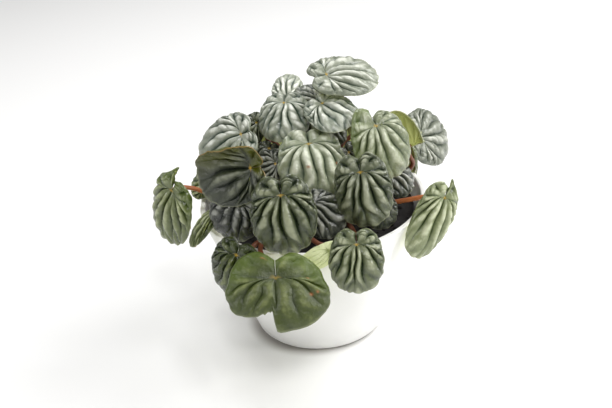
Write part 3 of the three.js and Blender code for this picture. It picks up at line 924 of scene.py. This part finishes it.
def flatOutline(leaf, station):
    # across and ahead of the stalk, as shares of the half width and the length
    back = leaf.get("back", blade["usualBack"])
    usualBack = blade["usualBack"]
    away = np.abs(station)
    across = np.sign(station) * outlineAt(blade["halfWidth"], away, -1)
    ahead = outlineAt(blade["along"], away, 1)
    if "ear" in leaf:
        side, stretch, narrow = leaf["ear"]
        reach = smoothStep(*blade["ear"], away) * (np.sign(station) == side)
        across, ahead = across * (1 - narrow * reach), ahead * (1 + stretch * reach)
    if "slant" in leaf:
        side, amount = leaf["slant"]
        ahead = ahead - amount * np.abs(across) * (np.sign(station) == side)
    if "tear" in leaf:
        place, depth, reach, leftReach = leaf["tear"]
        off = station - place
        keep = 1 - depth * np.clip(1 - np.abs(off) / np.where(off < 0, leftReach, reach), 0, 1)
        tooth, pace, middle, half = blade["teeth"]
        keep = keep - tooth * (1 + np.sin(pace * off)) * (np.abs(off - middle) < half)
        across, ahead = across * keep, ahead * keep
    if "trim" in leaf:
        place, amount = leaf["trim"]
        keep = 1 - amount * np.exp(-((station - place) / blade["trimWidth"]) ** 2)
        across, ahead = across * keep, ahead * keep
    return across, ahead * np.where(ahead < 0, back / usualBack, (1 - back) / (1 - usualBack))


def bladePoints(leaf, number, phase, share):
    # phase counts grooves from the midrib, negative on the left; share runs
    # from the stalk out to the edge
    length, width = leaf["size"]
    draw = random.Random(number)
    last = len(blade["veins"]) - 1
    left, right = veinsOf(number, 0), veinsOf(number, 1)
    grid = range(last + 1)
    station = np.where(phase < 0, -np.interp(-phase, grid, left), np.interp(phase, grid, right))
    wiggle = 0
    for size, outwards, sideways, begin, end in blade["waves"]:
        wave = size * np.sin(outwards * share + draw.uniform(0, 6.28) + sideways * phase)
        wiggle = wiggle + wave * smoothStep(begin, end, share)
    station = station + wiggle * np.clip((last - np.abs(phase)) / blade["waveEnd"], 0, 1)
    across, ahead = flatOutline(leaf, station)
    relief = reliefAt(phase, share, leaf, number)
    amount, level, ends = blade["bulge"]
    bulge = 1 + amount * (relief - level) * smoothStep(*ends, share)
    x = across * share ** (1 - blade["veinCurve"]) * width / 2 * bulge
    pull = 1 + blade["veinCurve"] * np.clip(ahead / blade["curveFrom"], -1, 1)
    y = ahead * share ** pull * length * bulge
    point, normal = bent(leaf, x, y)
    near = (x / (width / 2)) ** 2 + (y / (length / 2)) ** 2
    sink = blade["funnelDepth"] * length * np.exp(-near / blade["funnelSpread"])
    middle, spread = blade["squeezed"]
    squeeze = np.exp(-((np.abs(phase) - middle) / spread) ** 2)
    begin, end = (now + later * squeeze for now, later in zip(blade["rise"], blade["riseLater"]))
    fade = smoothStep(begin, end, share) * (1 - (1 - blade["rippleLeft"]) * share)
    droop = leaf.get("droop", blade["droop"])
    droop = droop * smoothStep(*blade["droopFrom"], share) ** blade["droopCurve"]
    height = blade["ripple"] * leaf.get("puff", 1) * length / blade["rippleLeaf"]
    lift = height * (relief - 0.5) * fade - sink - droop
    return point + normal * lift[:, None], station, relief, np.hypot(x, y)


# where the colours lie on a blade, in phases, stations, shares or mm from the joint
paint = {
    # painted shade: down in the funnel at the stalk the colours start darker
    "reliefShare": (0.55, 1.5),  # near the stalk the relief's colours start low and grow
    "curledPhase": (-0.1, 1.5),
    "curledLobe": 5.4,
    "curledShare": (0.1, 0.7),
    "curledNotch": (4.5, 5.5),
    "litThroughLobes": (2, 6),
    "litThroughLeft": (-1, 4),
    "litThroughShare": (0.1, 0.7),
    "usualJoint": 0.9,
    "jointAway": (0.4, 1.1),
    "stationsAcross": 7,
}


def paintBlade(mesh, leaf, phase, share, station, relief, away):
    every = np.ones(len(share))
    soft = leaf.get("puff", 1)
    start, growth = paint["reliefShare"]
    # the crests' lightness, partly painted highlight standing in for glints on the ridges
    height = leaf.get("tops", 1) * (1 - soft * (1 - np.clip(relief, 0, 1)))
    curled = np.maximum(smoothStep(*paint["curledPhase"], -phase), phase > paint["curledLobe"])
    notch = smoothStep(*paint["curledNotch"], np.abs(phase))
    # where the painted light shining through the blade lies
    fresh = leaf.get("fresh", 0)
    if fresh > 0:
        fresh = fresh * smoothStep(*paint["litThroughLobes"], np.abs(station))
    else:
        fresh = -fresh * smoothStep(*paint["litThroughLeft"], -station)
    blemish = np.zeros(len(share))
    for station0, share0, size in leaf.get("marks", ()):
        sideways = (station - station0) * share * leaf["size"][1] / paint["stationsAcross"]
        outward = (share - share0) * leaf["size"][0] / 2
        blemish = np.maximum(blemish, np.exp(-(sideways ** 2 + outward ** 2) / size ** 2))
    # darker near the stalk: painted shade in the funnel
    addLayer(mesh, "relief", height * np.minimum(1, start + growth * share))
    addLayer(mesh, "tone", leaf["look"][0] * every)
    addLayer(mesh, "green", leaf["look"][1] * every)
    # the curled half's painted shade, with light shining through it
    olive = leaf.get("olive", 0) * curled
    addLayer(mesh, "olive", olive * np.maximum(smoothStep(*paint["curledShare"], share), notch))
    addLayer(mesh, "fresh", fresh * smoothStep(*paint["litThroughShare"], share))
    addLayer(mesh, "blemish", blemish)
    addLayer(mesh, "satin", leaf.get("satin", 0) * every)
    joint = leaf.get("joint", paint["usualJoint"])
    addLayer(mesh, "joint", joint * (1 - smoothStep(*paint["jointAway"], away)))


def addBlade(number, leaf):
    hidden = number >= blade["firstHidden"]
    columns = blade["hiddenColumns"] if hidden else blade["columns"]
    rings = blade["hiddenRings"] if hidden else blade["rings"]
    bpy.ops.mesh.primitive_grid_add(x_subdivisions=columns, y_subdivisions=rings, size=2, calc_uvs=True)
    piece = takeNew("leaf%02d" % number)
    mesh = piece.data
    points = getPoints(mesh)
    phase = points[:, 0] * (len(blade["veins"]) - 1)
    inside = phase - np.floor(phase)
    phase = phase - blade["columnCrowd"] * np.sin(2 * math.pi * inside)
    share = np.clip((points[:, 1] + 1) / 2, 0, 1)
    share = share + blade["ringCrowd"] * np.sin(2 * math.pi * share)
    local, station, relief, away = bladePoints(leaf, number, phase, np.maximum(share, blade["firstShare"]))
    setPoints(mesh, local @ leafFrame(leaf) + np.array(leaf["at"]))
    paintBlade(mesh, leaf, phase, share, station, relief, away)
    bpy.ops.object.mode_set(mode="EDIT")
    weld(blade["weld"])
    bpy.ops.mesh.flip_normals()
    bpy.ops.object.mode_set(mode="OBJECT")
    for finish in ("upper", "under", "margin"):
        mesh.materials.append(finishes[finish])
    applyModifier(piece, "SOLIDIFY", thickness=blade["thickness"] * mm, offset=-1,
                  material_offset=1, material_offset_rim=2)
    smoothShading(piece, blade["smooth"])
    return piece


bladePieces = {}
for number, leaf in leaves.items():
    deselectAll()
    bladePieces[number] = addBlade(number, leaf)
print("blades done:", len(bladePieces))


# each leaf goes onto the root body, and its part from model.glb is hidden
for number, piece in bladePieces.items():
    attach(piece, "root")
    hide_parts("leaf_%02d" % number)
print("leaves placed")


stalk = {
    "rootRadius": 1.7,
    "tipRadius": 1.15,
    "start": 8,
    "level": 82,
    "approach": 6.5,  # the last mm go straight up into the blade
    "sink": 0.36,  # how far the end stays under the blade's upper face
    "nearJoint": 1e-3,  # the share at which the blade is met
    # how far each stalk turns red; those left at usualRuddy stay dark as painted shade deep in the plant
    "ruddy": {16: 0.8, 17: 1, 9: 0.6, 7: 0.6},
    "usualRuddy": 0.2,
    "roundness": 3,
    "steps": 10,
    "smooth": 60,  # degrees
}
# points each stalk passes through between the crown and its leaf, in mm
stalkWay = {
    1: [(22, 22, 118), (20, 21, 147)], 2: [(-6, 24, 110)], 3: [(4, 14, 112)], 4: [(-6, 8, 113)],
    5: [(6, 4, 114)], 6: [(0, -6, 104)], 7: [(36, -12, 98), (42, -9, 121)],
    8: [(38, 6, 88), (62, 6, 99)], 9: [(36, 14, 87), (60, 25, 97)], 10: [(-28, 12, 100), (-40, 6, 122)],
    11: [(-20, -26, 98)], 12: [(-11, -38, 95)], 13: [(16, -26, 97)],
    14: [(18, -32, 85), (22, -56, 89), (22, -68, 92)],
    15: [(-14, -28, 85), (-31, -58, 90), (-29, -76, 89)], 16: [(-50, -5, 92)], 17: [(42, -22, 90)],
    18: [(-16, -24, 85), (-34, -57, 90)], 19: [(-24, -18, 90), (-38, -34, 103)], 20: [(-14, -5, 98)],
    21: [(4, -24, 92)], 22: [(30, -4, 92)], 23: [(24, -24, 92)], 24: [(-44, 8, 92)],
    25: [(-20, 12, 104)], 26: [(-30, -12, 88), (-57, -28, 92)], 27: [(18, 2, 98)],
    28: [(-12, 26, 98), (-25, 42, 110)], 29: [(16, 30, 95), (12, 46, 112)],
    30: [(15, 34, 96), (32, 42, 108)], 31: [(30, 24, 85), (54, 36, 90)],
    32: [(-22, 6, 90), (-44, 16, 100)], 33: [(-28, 40, 92)], 34: [(-11, 46, 92)], 35: [(12, 44, 92)],
    36: [(28, 34, 85), (44, 52, 91)], 37: [(38, 10, 90), (60, 16, 99)],
    38: [(-26, 20, 84), (-57, 38, 92)], 39: [(0, 22, 96)], 40: [(-20, 18, 94)], 41: [(20, 16, 94)],
    42: [(-28, 8, 94)], 43: [(-18, 10, 102)], 44: [(1, 16, 108)], 45: [(18, 10, 104)],
    46: [(-7, -34, 85), (0, -58, 88)],
}


def addStalk(number):
    leaf = leaves[number]
    up = leafFrame(leaf)[2]
    joint, _, _, _ = bladePoints(leaf, number, np.zeros(1), np.full(1, stalk["nearJoint"]))
    end = joint[0] @ leafFrame(leaf) + np.array(leaf["at"]) - up * stalk["sink"]
    way = [np.array(p, float) for p in stalkWay[number]]
    turn = math.atan2(way[0][1], way[0][0])
    start = np.array([stalk["start"] * math.cos(turn), stalk["start"] * math.sin(turn), stalk["level"]])
    points = [start, *way, end - up * stalk["approach"], end]
    curve = bpy.data.curves.new("stalk%02d" % number, "CURVE")
    curve.dimensions = "3D"
    curve.bevel_depth = mm
    curve.bevel_resolution = stalk["roundness"]
    curve.resolution_u = stalk["steps"]
    curve.use_fill_caps = True
    spline = curve.splines.new("BEZIER")
    spline.bezier_points.add(len(points) - 1)
    for i, (knot, point) in enumerate(zip(spline.bezier_points, points)):
        share = i / (len(points) - 1)
        knot.co = point * mm
        knot.handle_left_type = knot.handle_right_type = "AUTO"
        knot.radius = stalk["rootRadius"] + (stalk["tipRadius"] - stalk["rootRadius"]) * share
    piece = bpy.data.objects.new(curve.name, curve)
    bpy.context.collection.objects.link(piece)
    deselectAll()
    piece.select_set(True)
    bpy.context.view_layer.objects.active = piece
    bpy.ops.object.convert(target="MESH")
    piece = bpy.context.object
    away = np.linalg.norm(getPoints(piece.data) - start * mm, axis=1)
    ruddy = stalk["ruddy"].get(number, stalk["usualRuddy"])
    addLayer(piece.data, "reach", away / away.max())
    addLayer(piece.data, "ruddy", np.full(len(away), ruddy))
    return piece


crown = {
    "radius": 13.9,
    "fullness": 0.92,  # the lumps stand on this share of the radius
    "foot": 74.3,
    "top": 88,
    "segments": 40,
    "rings": 20,
    # each: height, how many round, start
    "lumps": ((0.08, 9, 0), (0.05, 4, 1)),
}


def addCrown():
    # a lumpy ball, partly in the soil, that all stalks grow from
    bpy.ops.mesh.primitive_uv_sphere_add(segments=crown["segments"], ring_count=crown["rings"], radius=1)
    ball = takeNew("crown")
    points = getPoints(ball.data)
    turn = np.arctan2(points[:, 1], points[:, 0])
    lumps = 1 + sum(height * np.sin(count * turn + start) for height, count, start in crown["lumps"])
    points[:, :2] *= (crown["radius"] * crown["fullness"] * lumps)[:, None]
    points[:, 2] = crown["foot"] + (crown["top"] - crown["foot"]) * (points[:, 2] + 1) / 2
    setPoints(ball.data, points)
    for name in ("reach", "ruddy"):
        addLayer(ball.data, name, np.zeros(len(points)))
    return ball


deselectAll()
stalks = joinPieces([addCrown()] + [addStalk(number) for number in leaves], "leafStalks")
stalks.data.materials.clear()
stalks.data.materials.append(finishes["stalk"])
smoothShading(stalks, stalk["smooth"])
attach(stalks, "root")
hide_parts("leaf_stalks")
print("stalks done")

deselectAll()
meshes = [piece.data for piece in bpy.data.objects if piece.type == "MESH"]
total = sum(len(mesh.loop_triangles) or len(mesh.polygons) * 2 for mesh in meshes)
print("about", total, "triangles")
